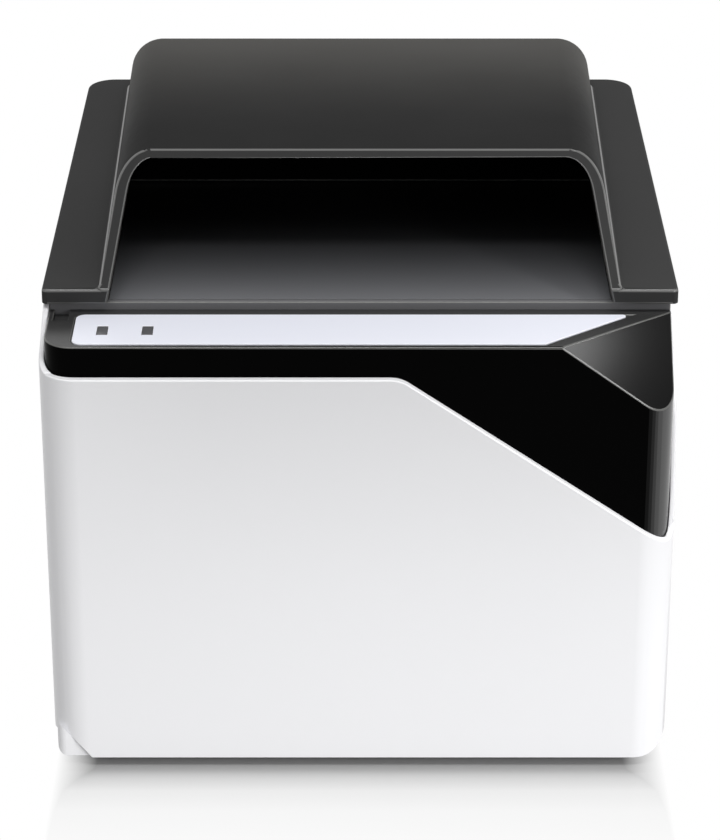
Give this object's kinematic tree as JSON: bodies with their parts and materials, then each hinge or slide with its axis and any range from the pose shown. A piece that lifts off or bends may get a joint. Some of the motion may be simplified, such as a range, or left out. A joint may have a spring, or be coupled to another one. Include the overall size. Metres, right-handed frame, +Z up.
{
  "type": "travel document scanner",
  "caption": "Desktop passport and identity document reader: boxy two-tone body, flush glass window and a low arched hood, open in front, hinged behind.",
  "frame": {"origin": "middle of the overall footprint, on the surface that the feet stand on", "axes": "+X to the right as seen from the front, +Y to the back, +Z up"},
  "size_m": [0.1666, 0.194, 0.153],
  "materials": {
    "white_shell": "satin, light moulded grain",
    "black_gloss": "polished",
    "deck_black": "fine matt grain",
    "hood_grey": "fine matt grain",
    "window_glass": "polished",
    "strip_white": "smooth printed overlay",
    "lens_grey": "smooth",
    "rubber_black": "matt",
    "zinc_steel": "zinc plated sheet",
    "screw_steel": "zinc plated",
    "screw_black": "black coated",
    "socket_nickel": "nickel plated",
    "socket_black": "smooth",
    "board_green": "solder mask",
    "board_white": "white solder mask",
    "connector_cream": "smooth",
    "chip_black": "moulded",
    "heat_sink_black": "black anodised",
    "can_silver": "sleeve and can",
    "diode_yellow": "cast",
    "shroud_black": "matt inside and out",
    "cable_amber": "smooth film",
    "wire_black": "smooth sleeve"
  },
  "bodies": {
    "body": {"outer_shell": "white_shell", "inner_housing": "black_gloss", "top_deck": "deck_black", "rear_panel": "deck_black", "platen_glass": "window_glass", "camera_lens": "window_glass", "status_strip": "strip_white", "indicator_lenses": "lens_grey", "rubber_feet": "rubber_black", "hood_bumpers": "rubber_black", "glass_gasket": "rubber_black", "chassis_plate": "zinc_steel", "camera_bracket": "zinc_steel", "lock_plate": "zinc_steel", "hinge_pins": "zinc_steel", "bracket_screws": "screw_steel", "board_screws": "screw_steel", "indicator_screws": "screw_steel", "shroud_screws": "screw_steel", "deck_screws": "screw_steel", "base_screws": "screw_black", "rear_screws": "screw_black", "usb_socket": "socket_nickel", "dc_pin": "socket_nickel", "switch_terminals": "socket_nickel", "dc_socket": "socket_black", "switch_frame": "socket_black", "camera_connector": "socket_black", "lens_holder": "socket_black", "buzzer": "socket_black", "main_board": "board_green", "camera_board": "board_green", "antenna_board": "board_green", "indicator_board": "board_green", "led_boards": "board_white", "board_connectors": "connector_cream", "usb_tongue": "connector_cream", "processor": "chip_black", "memory_chips": "chip_black", "image_sensor": "chip_black", "heat_sink": "heat_sink_black", "lens_barrel": "heat_sink_black", "board_capacitors": "can_silver", "led_emitters": "diode_yellow", "indicator_leds": "diode_yellow", "light_shroud": "shroud_black", "camera_flex": "cable_amber", "led_cables": "cable_amber", "indicator_cable": "cable_amber", "antenna_cable": "wire_black", "switch_wires": "wire_black"},
    "hood": {"hood_cover": "hood_grey"},
    "rocker": {"switch_rocker": "socket_black"}
  },
  "joints": [
    {"name": "hood_hinge", "type": "hinge", "parent": "body", "child": "hood", "pos_m": [0, 0.0926, 0.121], "axis": [-1, 0, 0], "range_deg": [0, 95]},
    {"name": "rocker_hinge", "type": "hinge", "parent": "body", "child": "rocker", "pos_m": [0.026, 0.088, 0.031], "axis": [1, 0, 0], "range_deg": [0, 14]}
  ]
}
